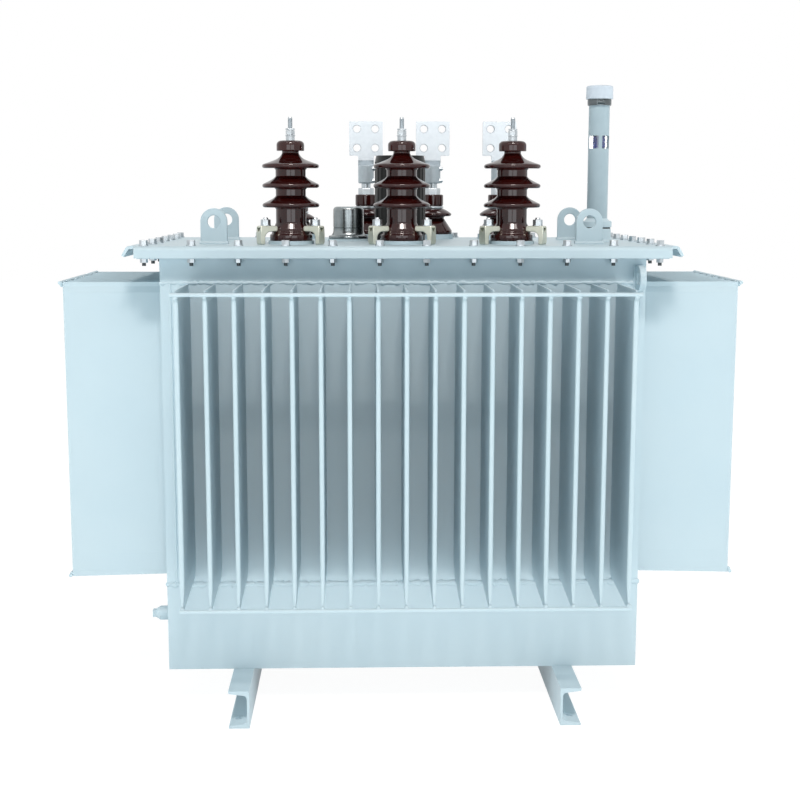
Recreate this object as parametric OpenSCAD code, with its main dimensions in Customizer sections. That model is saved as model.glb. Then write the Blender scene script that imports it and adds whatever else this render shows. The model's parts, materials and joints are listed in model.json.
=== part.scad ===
// Oil-immersed distribution transformer with a corrugated-fin tank.
// Millimetres, Z up, front towards -Y, origin on the floor under the middle of the tank.

/* [Skids] */
// Height of the channel section
skid_h = 80; // [60:1:140]
// Width of a channel flange
skid_flange_w = 43; // [32:1:70]
// Thickness of the channel web
skid_web_t = 5; // [3:0.5:10]
// Thickness of a channel flange at its edge
skid_edge_t = 6; // [4:0.5:9]
// Thickness of a channel flange at the web
skid_root_t = 9.5; // [6:0.5:14]
// Radius in the corner between flange and web
skid_root_r = 8; // [4:0.5:10]
// Radius of the inner flange edges
skid_tip_r = 3; // [1:0.5:4]
// Length of each skid, front to back
skid_len = 818; // [640:2:1100]
// Clear distance between the two webs
skid_gap = 642; // [400:2:800]
// Diameter of the fixing holes in the bottom flanges
skid_hole_d = 18; // [10:1:24]
// Fixing hole spacing along a skid
skid_hole_pitch = 740; // [400:2:780]

/* [Tank] */
// Width of the tank between its side walls
tank_w = 1005; // [900:1:1400]
// Depth of the tank, front to back
tank_d = 545; // [480:1:800]
// Thickness of the tank sheet
wall_t = 5; // [3:0.5:10]
// Thickness of the tank floor
floor_t = 6; // [4:0.5:12]
// Height of the plain band under the fins
lower_band_h = 188; // [120:1:300]
// Height of the plain band over the fins
upper_band_h = 53; // [50:1:120]
// Thickness of the bolting flange round the tank mouth
flange_t = 12; // [8:1:20]
// How far the flange stands out at the front and back
flange_out_y = 27.5; // [22:0.5:50]
// How far the flange stands out at the sides
flange_out_x = 42; // [25:0.5:60]
// Thickness of the gasket under the lid
gasket_t = 8; // [4:0.5:12]
// Strip of flange left bare outside the gasket
gasket_inset = 8; // [4:0.5:16]

/* [Fins] */
// Height of the finned walls
fin_h = 637; // [400:1:900]
// Distance from fin to fin
fin_pitch = 55.7; // [45:0.1:64]
// Thickness of a fin
fin_t = 9.4; // [6:0.2:16]
// Thickness of a fin where its ends are pressed shut
fin_pinch_t = 3.6; // [2:0.2:5]
// Height over which the top of a fin narrows
fin_taper_top = 22; // [10:1:60]
// Height over which the foot of a fin narrows
fin_taper_foot = 50; // [10:1:90]
// Height of the flat hem along the pinched top and foot of a fin
fin_hem = 9; // [2:0.5:20]
// Foot of a front or back fin over the wall's foot, at the wall
fin_foot_rise = 14; // [4:0.5:30]
// Foot of a front or back fin under the wall's foot, at the nose
fin_foot_drop = 4; // [2:0.5:12]
// Fins on the front wall, and as many on the back
front_fins = 17; // [3:2:17]
// How far the front and back fins stand out
front_fin_depth = 193; // [100:1:280]
// Fins on each side wall
side_fins = 8; // [2:1:8]
// How far the side fins stand out
side_fin_depth = 215; // [100:1:280]
// Foot of a side fin over the wall's foot, at the wall
side_foot_rise = 3; // [1:0.5:20]
// Foot of a side fin under the wall's foot, at the nose
side_foot_drop = 2; // [2:0.5:12]
// Diameter of the rods that tie the fin noses
rod_d = 7.6; // [5:0.2:12]
// Rod axis below the top of the fins
rod_drop = 8; // [6:0.5:30]
// Upper rods of the side fins under the fins' top
side_rod_drop = 1.5; // [1:0.5:30]
// Lower rod axis over the wall's foot
rod_lift = 0.5; // [0:0.5:30]
// How far an upper rod runs past the last fin
rod_overhang = 11; // [5:1:24]
// How far a lower rod runs past the last fin
foot_rod_overhang = 5; // [5:1:24]

/* [Lid] */
// Thickness of the lid sheet
lid_t = 6; // [4:0.5:10]
// Drop of the front and back lips from the lid top
lip_h = 24.5; // [20:0.5:45]
// Outer radius of the front and back bends
lip_r = 10; // [8:0.5:18]
// Outer radius of the side bends
side_lip_r = 9; // [7:0.5:24]
// Slope of the side lips under the level
side_lip_angle = 60; // [30:1:80]
// Straight length of the side lips
side_lip_len = 17.5; // [10:0.5:40]
// Level strip of the lid between the front lip's end and the bend
side_shelf = 10.5; // [2:0.5:20]
// Open notch between the lips at each corner
lid_notch = 14; // [6:1:40]

/* [Lifting lugs] */
// Width of a lid lug
lug_w = 57; // [48:1:80]
// Thickness of a lid lug
lug_t = 10; // [6:0.5:20]
// Diameter of the lug eye
lug_hole_d = 25.5; // [16:0.5:36]
// Height of the eye over the lid
lug_hole_z = 46.5; // [36:0.5:80]
// Lid lugs in from the tank's sides
lug_inset = 101.5; // [90:0.5:130]
// Front lugs ahead of the middle
lug_front_y = 158; // [110:1:200]
// Rear lugs behind the middle
lug_rear_y = 120; // [90:1:200]
// Thickness of a tank lug
hook_t = 13; // [8:0.5:20]
// Height of a tank lug
hook_h = 52; // [44:1:70]
// Foot of a tank lug under the upper band's foot
hook_drop = 12.6; // [4:0.2:20]
// Reach of a tank lug from the tank wall
hook_reach = 58; // [44:1:90]
// Diameter of the tank lug eye
hook_hole_d = 24; // [14:0.5:28]
// Distance of a tank lug from the tank corner
hook_inset = 16.5; // [12:0.5:40]

/* [High voltage bushings] */
// Distance from bushing to bushing
hv_pitch = 235; // [200:1:280]
// Bushing row to the left of the middle
hv_shift = 1.7; // [0:0.1:6]
// Bushing row ahead of the middle
hv_y = 166; // [140:1:180]
// Radius of the porcelain base
hv_base_r = 45.2; // [40:0.1:52]
// Height of the collar at the base
hv_base_h = 13.5; // [10:0.5:16]
// Radius of the ledge over the collar
hv_ledge_r = 41; // [37:0.1:43]
// Height of the ledge over the collar
hv_ledge_z = 19.5; // [18:0.5:28]
// Height at which the shoulder meets the body
hv_shoulder_z = 36; // [32:0.5:50]
// Radius of the body
hv_body_r = 32; // [26:0.1:38]
// Radius of the sheds
hv_shed_r = 59.4; // [50:0.1:72]
// Height of the lowest shed edge
hv_shed_z = 74.5; // [70:0.5:90]
// Distance from shed to shed
hv_shed_pitch = 40.8; // [36:0.1:50]
// Number of sheds
hv_sheds = 3; // [1:1:4]
// Radius of the round shed edges
hv_shed_edge_r = 4.75; // [3:0.25:6]
// Rise of a lower shed from its edge to the body
hv_shed_rise = 20; // [12:0.5:24]
// Rise of the top shed from its edge to the neck
hv_top_rise = 27; // [16:0.5:30]
// Radius of the neck over the sheds
hv_neck_r = 18; // [12:0.1:26]
// Height of the neck
hv_neck_h = 4.5; // [3:0.5:12]
// Radius of the cap
hv_cap_r = 29.2; // [22:0.1:36]
// Height of the cap
hv_cap_h = 21.5; // [18:0.5:34]
// Radius of the cap's round top edge
hv_cap_edge_r = 9; // [3:0.5:12]
// Radius of the terminal sleeve
hv_sleeve_r = 9; // [8:0.25:14]
// Height of the sleeve over the cap
hv_sleeve_h = 13; // [8:0.5:24]
// Width across the flats of the terminal nut
hv_nut_af = 17; // [16:0.5:24]
// Height of the terminal nuts
hv_nut_h = 12; // [8:0.5:20]
// Diameter of the terminal stud
hv_stud_d = 10; // [8:1:12]
// Length of bare stud over the nuts
hv_stud_h = 24; // [16:0.5:40]

/* [Bushing clamps] */
// Clamps round each bushing
clamp_count = 3; // [2:1:4]
// Distance of the clamp stud from the bushing axis
clamp_stud_x = 60; // [57:0.5:66]
// Distance of the outer end of a clamp
clamp_end_x = 76.5; // [74:0.5:90]
// Distance of the clamp tip
clamp_tip_x = 39; // [38.5:0.5:41]
// Width of a clamp
clamp_w = 22; // [18:0.5:28]
// Thickness of the clamp arm
clamp_t = 12.5; // [8:0.5:14]
// Thickness of the clamp leg at its foot
clamp_leg_t = 12.5; // [10:0.5:20]
// Diameter of the clamp stud
clamp_stud_d = 12; // [8:1:12]
// Width across the flats of the clamp nut
clamp_nut_af = 19; // [13:0.5:19]
// Height of the clamp nut with its washer
clamp_nut_h = 13; // [6:0.5:14]
// Length of stud over the clamp nut
clamp_stud_tip = 4; // [3:0.5:12]

/* [Low voltage bushings] */
// Distance from bushing to bushing
lv_pitch = 158; // [140:1:190]
// Bushing row behind the middle
lv_y = 185; // [170:1:210]
// Bushing row to the right of the middle
lv_shift = 3.3; // [0:0.1:6]
// Height of the low voltage seats over the lid
lv_seat_h = 11.5; // [4:0.5:16]
// Radius of the porcelain foot
lv_base_r = 46.5; // [42:0.5:54]
// Radius at the top of the cone
lv_waist_r = 26.5; // [24:0.1:34]
// Height of the upright rim at the foot
lv_rim_h = 8; // [2:0.5:12]
// Height of the cone
lv_cone_h = 39.5; // [30:0.5:50]
// Radius of the shed
lv_shed_r = 45; // [38:0.5:52]
// Height of the shed edge
lv_shed_z = 46.7; // [42:0.1:56]
// Height of the top of the shed
lv_shed_top_z = 59.6; // [57:0.1:70]
// Height of the seal between porcelain and cap
lv_seal_h = 6.2; // [3:0.1:10]
// Radius of the porcelain cap
lv_cap_r = 25; // [20:0.5:32]
// Height of the porcelain cap
lv_cap_h = 27; // [18:0.5:36]
// Chamfer of the cap's top edge
lv_cap_edge = 3; // [1:0.5:6]
// Width across the flats of the terminal nut
lv_nut_af = 32; // [28:0.5:42]
// Height of the terminal nut
lv_nut_h = 15; // [10:0.5:22]
// Diameter of the terminal rod
lv_rod_d = 21.5; // [16:0.5:26]
// Bare rod between nut and clamp
lv_rod_h = 11; // [6:0.5:24]
// Diameter of the terminal clamp
lv_clamp_d = 37; // [32:0.5:48]
// Height of the terminal clamp
lv_clamp_h = 43; // [30:0.5:60]
// Height of the neck under the flag
lv_neck_h = 22; // [12:0.5:36]
// Width of the flag plate
flag_w = 79; // [70:1:120]
// Height of the flag plate
flag_h = 79.5; // [70:0.5:120]
// Thickness of the flag plate
flag_t = 12; // [8:0.5:18]
// Diameter of the flag holes
flag_hole_d = 17.5; // [11:0.5:20]
// Flag hole spacing across
flag_hole_dx = 42.8; // [34:0.1:48]
// Flag hole spacing up
flag_hole_dz = 44.3; // [34:0.1:48]
// Size of the neutral bushing against the others
neutral_share = 0.8; // [0.7:0.05:1]

/* [Fittings] */
// Height of the high voltage seats over the lid
seat_h = 7; // [4:0.5:14]
// Rim of a seat outside its porcelain
seat_rim = 3; // [2:0.5:6]
// Relief valve to the left of the middle
relief_x = 116.5; // [110:0.5:130]
// Relief valve behind the middle
relief_y = 40; // [30:1:50]
// Radius of the relief valve cap
relief_r = 34.5; // [28:0.5:38]
// Radius of the relief valve flange
relief_flange_r = 45; // [40:0.5:46]
// Thickness of the relief valve flange
relief_flange_h = 7; // [4:0.5:12]
// Height of the welded seat under the relief valve
relief_seat_h = 4.5; // [2:0.5:10]
// Height of the relief valve
relief_h = 72.5; // [50:0.5:100]
// Height of the hollow flare over the relief valve flange
relief_flare_h = 14; // [6:0.5:24]
// Radius of the round top edge of the relief valve
relief_edge_r = 9; // [4:0.5:14]
// Radius of the tap changer cover
tap_r = 57; // [50:0.5:60]
// Height of the tap changer cover
tap_h = 190; // [120:1:220]
// Tap changer behind the middle
tap_y = 15; // [5:1:30]
// Ribs round the tap changer cover
tap_ribs = 24; // [8:1:40]
// Depth of the flutes between the ribs
tap_flute_r = 3; // [1:0.25:4]
// Height of the plain foot of the cover
tap_foot_h = 14; // [8:0.5:24]
// Drain stub ahead of the middle
drain_y = 189; // [100:1:220]
// Height of the drain stub over the floor
drain_z = 180; // [140:1:230]
// Diameter of the drain stub
drain_d = 31; // [20:0.5:50]
// Length of the drain stub
drain_len = 35; // [20:0.5:60]
// Width of the square on the drain plug
drain_plug_w = 15; // [10:0.5:20]
// Length of the square on the drain plug
drain_plug_len = 9; // [6:0.5:20]

/* [Oil gauge] */
// Gauge in from the tank's right side
gauge_inset = 59.5; // [45:0.5:75]
// Gauge ahead of the middle
gauge_y = 10; // [0:1:40]
// Radius of the welded socket
gauge_socket_r = 31.5; // [30:0.5:36]
// Height of the socket
gauge_socket_h = 29; // [20:0.5:50]
// Height of the gap between socket and ring
gauge_gap_h = 3; // [2:0.5:5]
// Radius of the ring over the gap
gauge_ring_r = 33; // [30:0.5:36]
// Height of the ring
gauge_ring_h = 14; // [8:0.5:20]
// Outer radius of the tube
gauge_tube_r = 23; // [18:0.5:26]
// Thickness of the tube
gauge_tube_t = 3; // [2:0.25:4]
// Height of the tube over the ring
gauge_tube_h = 254; // [180:1:320]
// Foot of the sight slots over the ring
gauge_slot_z = 160; // [100:1:170]
// Height of the sight slots
gauge_slot_h = 28; // [16:0.5:50]
// Width of a sight slot
gauge_slot_w = 26; // [14:0.5:27]
// Thickness of the clear sleeve
gauge_glass_t = 2; // [1.5:0.25:4]
// Radius of the steel band under the cap
gauge_band_r = 26.5; // [26:0.5:28]
// Height of the band
gauge_band_h = 14; // [8:0.5:24]
// Radius of the cap
gauge_cap_r = 30; // [27:0.5:36]
// Height of the cap
gauge_cap_h = 29; // [18:0.5:40]
// Rounding of the cap's top edge
gauge_cap_edge = 4; // [1:0.5:8]

/* [Hidden] */
// Overrun of every cut
cut = 1;
// Clearance between the lid lip and the flange
lip_clear = 1.4;
// Room between the flange and the side bends
side_clear = 4.5;
// Room left between welded rods and fin noses
weld_clear = 0.2;
// Room between the clear sleeve and the tube, and between float and sleeve
slide_clear = 0.2;
$fn = 64;

// Heights from the floor up
floor_z = skid_h;
fin_z = floor_z + lower_band_h;
upper_band_z = fin_z + fin_h;
flange_z = upper_band_z + upper_band_h;
gasket_z = flange_z + flange_t;
lid_z = gasket_z + gasket_t + lid_t;
seat_z = lid_z + seat_h;
gauge_foot_h = gauge_socket_h + gauge_gap_h + gauge_ring_h;

// Plan sizes of the tank mouth
flange_w = tank_w + 2 * flange_out_x;
flange_d = tank_d + 2 * flange_out_y;
lid_w = flange_w + 2 * side_clear;
lid_d = flange_d + 2 * (lip_clear + lid_t);

// Bushing places
hv_xs = [for (i = [-1:1]) i * hv_pitch - hv_shift];
lv_xs = [for (i = [-1.5:1:1.5]) lv_shift + i * lv_pitch];

// Heights along the porcelains
hv_neck_z = hv_shed_z + (hv_sheds - 1) * hv_shed_pitch + hv_top_rise;
hv_cap_z = hv_neck_z + hv_neck_h;
hv_top_z = hv_cap_z + hv_cap_h;
lv_cap_z = lv_shed_top_z + lv_seal_h;
lv_top_z = lv_cap_z + lv_cap_h;

// Steps in a curved outline
arc_steps = 6;

// Shares of outlines
lv_shed_under_share = 0.55;
hv_slope_share = 0.8;
hv_top_slope_share = 0.62;
hv_collar_share = 0.5;
lv_seal_share = 0.9;
stud_chamfer_share = 0.2;
clamp_round_share = 0.42;
drain_taper_share = 0.22;
drain_tip_share = 0.7;
tap_shoulder_share = 0.94;

tank_paint = "#c3d6de";
porcelain_brown = "#4a1c17";
tinned = "#c9ccce";
passivated = "#c8c9a4";

// Upright rectangular frame of sheet, standing on z = 0
module frame(w, d, h, wall) {
    difference() {
        translate([-w / 2, -d / 2, 0]) cube([w, d, h]);
        translate([-w / 2 + wall, -d / 2 + wall, -cut]) cube([w - 2 * wall, d - 2 * wall, h + 2 * cut]);
    }
}

// Hexagon bar across the flats af
module hex_bar(af, h) {
    cylinder(d = af / cos(30), h = h, $fn = 6);
}

// Points on an arc about a centre
function arc_points(x, y, r, from, to) = [for (i = [0:arc_steps])
    let (a = from + (to - from) * i / arc_steps) [x + r * cos(a), y + r * sin(a)]];

// Rolled channel with tapered flanges, web on the +X side, flanges pointing to -X
module skid() {
    tip_x = -skid_flange_w + skid_tip_r;
    root_x = -skid_web_t - skid_root_r;
    difference() {
        rotate([90, 0, 0]) linear_extrude(skid_len, center = true) polygon(concat(
            [[0, 0], [0, skid_h], [-skid_flange_w, skid_h]],
            arc_points(tip_x, skid_h - skid_edge_t + skid_tip_r, skid_tip_r, 180, 270),
            arc_points(root_x, skid_h - skid_root_t - skid_root_r, skid_root_r, 90, 0),
            arc_points(root_x, skid_root_t + skid_root_r, skid_root_r, 0, -90),
            arc_points(tip_x, skid_edge_t - skid_tip_r, skid_tip_r, 90, 180),
            [[-skid_flange_w, 0]]
        ));
        for (side = [-1, 1])
            translate([-(skid_flange_w + skid_web_t) / 2, side * skid_hole_pitch / 2, -cut])
                cylinder(d = skid_hole_d, h = skid_h / 2);
    }
}

// Hollow-looking pressed fin growing towards -Y from y = 0, pinched shut at both ends
module fin(depth, rise, drop) {
    intersection() {
        translate([0, 0, -drop]) linear_extrude(fin_h + drop) {
            translate([-fin_t / 2, -depth + fin_t / 2]) square([fin_t, depth - fin_t / 2 + wall_t / 2]);
            translate([0, -depth + fin_t / 2]) circle(d = fin_t);
        }
        translate([0, wall_t / 2, 0]) rotate([90, 0, 0]) linear_extrude(depth + wall_t) polygon([
            [-fin_pinch_t / 2, -drop], [fin_pinch_t / 2, -drop],
            [fin_pinch_t / 2, fin_hem], [fin_t / 2, fin_taper_foot],
            [fin_t / 2, fin_h - fin_taper_top], [fin_pinch_t / 2, fin_h - fin_hem],
            [fin_pinch_t / 2, fin_h], [-fin_pinch_t / 2, fin_h],
            [-fin_pinch_t / 2, fin_h - fin_hem], [-fin_t / 2, fin_h - fin_taper_top],
            [-fin_t / 2, fin_taper_foot], [-fin_pinch_t / 2, fin_hem]
        ]);
        rotate([90, 0, 90]) linear_extrude(2 * fin_t, center = true) polygon([
            [wall_t / 2, rise], [0, rise], [-depth, -drop],
            [-depth, fin_h], [wall_t / 2, fin_h]
        ]);
    }
}

// Sheet wall facing -Y with its outer face on y = 0 and a row of fins
module fin_wall(width, count, depth, rise, drop) {
    translate([-width / 2, 0, 0]) cube([width, wall_t, fin_h]);
    for (i = [0:count - 1])
        translate([(i - (count - 1) / 2) * fin_pitch, 0, 0]) fin(depth, rise, drop);
}

// The two rods along the fin noses of such a wall
module fin_rods(count, depth, drop) {
    row = (count - 1) * fin_pitch;
    for (rod = [[rod_lift, row + 2 * foot_rod_overhang], [fin_h - drop, row + 2 * rod_overhang]])
        translate([-rod[1] / 2, -depth - rod_d / 2 - weld_clear, rod[0]])
            rotate([0, 90, 0]) cylinder(d = rod_d, h = rod[1]);
}

// Puts a wall that faces -Y on one side of the tank: 0 front, 90 right, 180 rear, -90 left
module on_side(turn, reach) {
    rotate([0, 0, turn]) translate([0, -reach, fin_z]) children();
}

// Sheet section with both top corners rounded, hanging from y = 0
module rounded_top(w, h, r) {
    translate([-w / 2, -h]) square([w, h - r]);
    translate([-w / 2 + r, -r]) square([w - 2 * r, r]);
    for (side = [-1, 1]) translate([side * (w / 2 - r), -r]) circle(r = r);
}

// Section of a side lip: a bend and a straight slope, starting level at x = 0
function lip_point(angle, out, r) = [r * sin(angle) + out * cos(angle), r * cos(angle) - out * sin(angle)];
module side_lip_section() {
    angles = [for (i = [0:arc_steps]) i * side_lip_angle / arc_steps];
    inner = side_lip_r - lid_t;
    translate([side_shelf, -side_lip_r]) polygon(concat(
        [[-side_clear - side_shelf, side_lip_r]],
        [for (a = angles) lip_point(a, 0, side_lip_r)],
        [lip_point(side_lip_angle, side_lip_len, side_lip_r)],
        [lip_point(side_lip_angle, side_lip_len, inner)],
        [for (i = [arc_steps:-1:0]) lip_point(angles[i], 0, inner)],
        [[-side_clear - side_shelf, inner]]
    ));
}

// Plate lug with a round head and an eye, standing on z = 0 and facing Y
module eye_plate(w, t, eye_z, eye_d) {
    rotate([90, 0, 0]) linear_extrude(t, center = true) difference() {
        union() {
            translate([-w / 2, 0]) square([w, eye_z]);
            translate([0, eye_z]) circle(d = w);
        }
        translate([0, eye_z]) circle(d = eye_d);
    }
}

// Tank lug in the Y-Z plane, growing towards -Y from y = 0
module tank_hook() {
    rotate([0, 0, 90]) rotate([90, 0, 0]) linear_extrude(hook_t, center = true) difference() {
        union() {
            translate([-hook_reach + hook_h / 2, -hook_h / 2]) square([hook_reach - hook_h / 2, hook_h]);
            translate([-hook_reach + hook_h / 2, 0]) circle(d = hook_h);
        }
        translate([-hook_reach + hook_h / 2, 0]) circle(d = hook_hole_d);
    }
}

// Outline of one porcelain shed: flat underside, round edge, even slope that turns up at the part above it
function shed_points(z, under_r, over_r, rise, slope) = let (centre_r = hv_shed_r - hv_shed_edge_r) concat(
    [[under_r, z - hv_shed_edge_r]],
    arc_points(centre_r, z, hv_shed_edge_r, -90, 65),
    [for (i = [1:arc_steps]) let (t = sin(90 * i / arc_steps)) [
        centre_r + (over_r - centre_r) * t,
        z + hv_shed_edge_r + (rise - hv_shed_edge_r) * (slope * t + (1 - slope) * pow(t, 8))
    ]]
);

// Outline of the shoulder between two radii as a quarter wave
function shoulder_points(z0, z1, r0, r1) = [for (i = [0:arc_steps])
    let (a = 90 * i / arc_steps) [r0 + (r1 - r0) * sin(a), z0 + (z1 - z0) * (1 - cos(a))]];

module hv_porcelain() {
    collar_in = (hv_base_r - hv_ledge_r) * hv_collar_share;
    color(porcelain_brown) rotate_extrude() polygon(concat(
        [[0, 0], [hv_base_r, 0], [hv_base_r, hv_base_h - collar_in], [hv_base_r - collar_in, hv_base_h]],
        shoulder_points(hv_ledge_z, hv_shoulder_z, hv_ledge_r, hv_body_r),
        [for (i = [0:hv_sheds - 1]) let (top = i == hv_sheds - 1) each shed_points(
            hv_shed_z + i * hv_shed_pitch, hv_body_r, top ? hv_neck_r : hv_body_r,
            top ? hv_top_rise : hv_shed_rise, top ? hv_top_slope_share : hv_slope_share)],
        [[hv_neck_r, hv_cap_z], [hv_cap_r, hv_cap_z]],
        arc_points(hv_cap_r - hv_cap_edge_r, hv_top_z - hv_cap_edge_r, hv_cap_edge_r, 0, 90),
        [[0, hv_top_z]]
    ));
}

// Sleeve, nuts and stud on top of a high voltage bushing
module hv_terminal() {
    nut_z = hv_top_z + hv_sleeve_h;
    stud_z = nut_z + hv_nut_h;
    chamfer = hv_stud_d * stud_chamfer_share;
    color(tinned) {
        translate([0, 0, hv_top_z]) cylinder(r = hv_sleeve_r, h = hv_sleeve_h);
        translate([0, 0, nut_z]) hex_bar(hv_nut_af, hv_nut_h);
        translate([0, 0, stud_z]) cylinder(d = hv_stud_d, h = hv_stud_h - chamfer);
        translate([0, 0, stud_z + hv_stud_h - chamfer])
            cylinder(d1 = hv_stud_d, d2 = hv_stud_d - 2 * chamfer, h = chamfer);
    }
}

// One cast clamp on the +X side: a leg on the lid, an arched arm over the collar, a stud and its nut
module hv_clamp() {
    arm_z = seat_h + hv_ledge_z;
    top_z = arm_z + clamp_t;
    round_r = clamp_t * clamp_round_share;
    arch_x = clamp_end_x - clamp_leg_t;
    arch_r = clamp_t * clamp_round_share;
    rotate([90, 0, 0]) linear_extrude(clamp_w, center = true) polygon(concat(
        [[clamp_end_x, 0]],
        arc_points(clamp_end_x - round_r, top_z - round_r, round_r, 0, 90),
        arc_points(clamp_tip_x + round_r, top_z - round_r, round_r, 90, 180),
        arc_points(clamp_tip_x + round_r, arm_z + round_r, round_r, 180, 270),
        arc_points(arch_x - 2 * arch_r, arm_z - arch_r, arch_r, 90, 0),
        [[arch_x, 0]]
    ));
    translate([clamp_stud_x, 0, top_z]) {
        hex_bar(clamp_nut_af, clamp_nut_h);
        cylinder(d = clamp_stud_d, h = clamp_nut_h + clamp_stud_tip);
    }
}

module lv_porcelain() {
    color(porcelain_brown) rotate_extrude() polygon(concat(
        [[0, 0], [lv_base_r, 0], [lv_base_r, lv_rim_h], [lv_waist_r, lv_cone_h]],
        [[lv_waist_r, lv_shed_z - (lv_shed_z - lv_cone_h) * lv_shed_under_share],
            [lv_shed_r, lv_shed_z - (lv_shed_z - lv_cone_h) * lv_shed_under_share]],
        [[lv_shed_r, lv_shed_z], [lv_cap_r, lv_shed_top_z]],
        [[lv_cap_r * lv_seal_share, lv_shed_top_z], [lv_cap_r * lv_seal_share, lv_cap_z]],
        [[lv_cap_r, lv_cap_z], [lv_cap_r, lv_top_z - lv_cap_edge]],
        [[lv_cap_r - lv_cap_edge, lv_top_z], [0, lv_top_z]]
    ));
}

// Nut, rod, clamp and flag of a low voltage bushing
module lv_terminal() {
    rod_z = lv_top_z + lv_nut_h;
    clamp_z = rod_z + lv_rod_h;
    neck_z = clamp_z + lv_clamp_h;
    flag_z = neck_z + lv_neck_h;
    color(tinned) {
        translate([0, 0, lv_top_z]) hex_bar(lv_nut_af, lv_nut_h);
        translate([0, 0, rod_z]) cylinder(d = lv_rod_d, h = lv_rod_h);
        translate([0, 0, clamp_z]) cylinder(d = lv_clamp_d, h = lv_clamp_h);
        translate([-lv_clamp_d / 2, -flag_t / 2, neck_z]) cube([lv_clamp_d, flag_t, lv_neck_h]);
        difference() {
            translate([-flag_w / 2, -flag_t / 2, flag_z]) cube([flag_w, flag_t, flag_h]);
            for (sx = [-1, 1], sz = [-1, 1])
                translate([sx * flag_hole_dx / 2, 0, flag_z + flag_h / 2 + sz * flag_hole_dz / 2])
                    rotate([90, 0, 0]) cylinder(d = flag_hole_d, h = flag_t + 2 * cut, center = true);
        }
    }
}

// Plain rod and nuts of the neutral bushing
module neutral_terminal() {
    rod_z = lv_top_z + lv_nut_h;
    color(tinned) {
        translate([0, 0, lv_top_z]) hex_bar(lv_nut_af, lv_nut_h);
        translate([0, 0, rod_z]) cylinder(d = lv_rod_d, h = lv_rod_h + lv_clamp_h);
    }
}

module at_hv(i) {
    translate([hv_xs[i], -hv_y, seat_z]) children();
}

module at_lv(i) {
    translate([lv_xs[i], lv_y, lid_z + lv_seat_h]) children();
}

module at_gauge(z) {
    translate([tank_w / 2 - gauge_inset, -gauge_y, lid_z + z]) children();
}

module left_skid() {
    color(tank_paint) translate([-skid_gap / 2, 0, 0]) skid();
}

module right_skid() {
    color(tank_paint) translate([skid_gap / 2, 0, 0]) mirror([1, 0, 0]) skid();
}

module tank_floor() {
    color(tank_paint) translate([-tank_w / 2 + wall_t, -tank_d / 2 + wall_t, floor_z])
        cube([tank_w - 2 * wall_t, tank_d - 2 * wall_t, floor_t]);
}

module lower_band() {
    color(tank_paint) translate([0, 0, floor_z]) frame(tank_w, tank_d, lower_band_h, wall_t);
}

module front_fin_wall() {
    color(tank_paint) on_side(0, tank_d / 2) fin_wall(
        tank_w, front_fins, front_fin_depth, fin_foot_rise, fin_foot_drop);
}

module rear_fin_wall() {
    color(tank_paint) on_side(180, tank_d / 2) fin_wall(
        tank_w, front_fins, front_fin_depth, fin_foot_rise, fin_foot_drop);
}

module left_fin_wall() {
    color(tank_paint) on_side(-90, tank_w / 2) fin_wall(
        tank_d - 2 * wall_t, side_fins, side_fin_depth, side_foot_rise, side_foot_drop);
}

module right_fin_wall() {
    color(tank_paint) on_side(90, tank_w / 2) fin_wall(
        tank_d - 2 * wall_t, side_fins, side_fin_depth, side_foot_rise, side_foot_drop);
}

module front_fin_rods() {
    color(tank_paint) on_side(0, tank_d / 2) fin_rods(front_fins, front_fin_depth, rod_drop);
}

module rear_fin_rods() {
    color(tank_paint) on_side(180, tank_d / 2) fin_rods(front_fins, front_fin_depth, rod_drop);
}

module left_fin_rods() {
    color(tank_paint) on_side(-90, tank_w / 2) fin_rods(side_fins, side_fin_depth, side_rod_drop);
}

module right_fin_rods() {
    color(tank_paint) on_side(90, tank_w / 2) fin_rods(side_fins, side_fin_depth, side_rod_drop);
}

module upper_band() {
    color(tank_paint) translate([0, 0, upper_band_z]) frame(tank_w, tank_d, upper_band_h, wall_t);
}

module tank_flange() {
    color(tank_paint) translate([0, 0, flange_z]) difference() {
        translate([-flange_w / 2, -flange_d / 2, 0]) cube([flange_w, flange_d, flange_t]);
        translate([-tank_w / 2 + wall_t, -tank_d / 2 + wall_t, -cut])
            cube([tank_w - 2 * wall_t, tank_d - 2 * wall_t, flange_t + 2 * cut]);
    }
}

module lid_gasket() {
    color("#23211f") translate([0, 0, gasket_z]) difference() {
        translate([-flange_w / 2 + gasket_inset, -flange_d / 2 + gasket_inset, 0])
            cube([flange_w - 2 * gasket_inset, flange_d - 2 * gasket_inset, gasket_t]);
        translate([-tank_w / 2 + wall_t, -tank_d / 2 + wall_t, -cut])
            cube([tank_w - 2 * wall_t, tank_d - 2 * wall_t, gasket_t + 2 * cut]);
    }
}

// Pressed lid with upright lips front and back, sloping lips at the sides and raised bushing seats
module lid() {
    color(tank_paint) {
        translate([0, 0, lid_z]) rotate([90, 0, 90]) linear_extrude(lid_w, center = true) difference() {
            rounded_top(lid_d, lip_h, lip_r);
            translate([0, -lid_t]) rounded_top(lid_d - 2 * lid_t, lip_h, lip_r - lid_t);
        }
        for (turn = [0, 180])
            rotate([0, 0, turn]) translate([lid_w / 2, 0, lid_z]) rotate([90, 0, 0])
                linear_extrude(lid_d - 2 * lid_notch, center = true) side_lip_section();
        translate([-relief_x, relief_y, lid_z - lid_t / 2])
            cylinder(r = relief_flange_r + seat_rim, h = relief_seat_h + lid_t / 2);
        for (x = hv_xs)
            translate([x, -hv_y, lid_z - lid_t / 2])
                cylinder(r = hv_base_r + seat_rim, h = seat_h + lid_t / 2);
        for (i = [0:len(lv_xs) - 1])
            translate([lv_xs[i], lv_y, lid_z - lid_t / 2])
                cylinder(
                    r = (lv_base_r + seat_rim) * (i == 0 ? neutral_share : 1),
                    h = lv_seat_h + lid_t / 2
                );
    }
}

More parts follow.
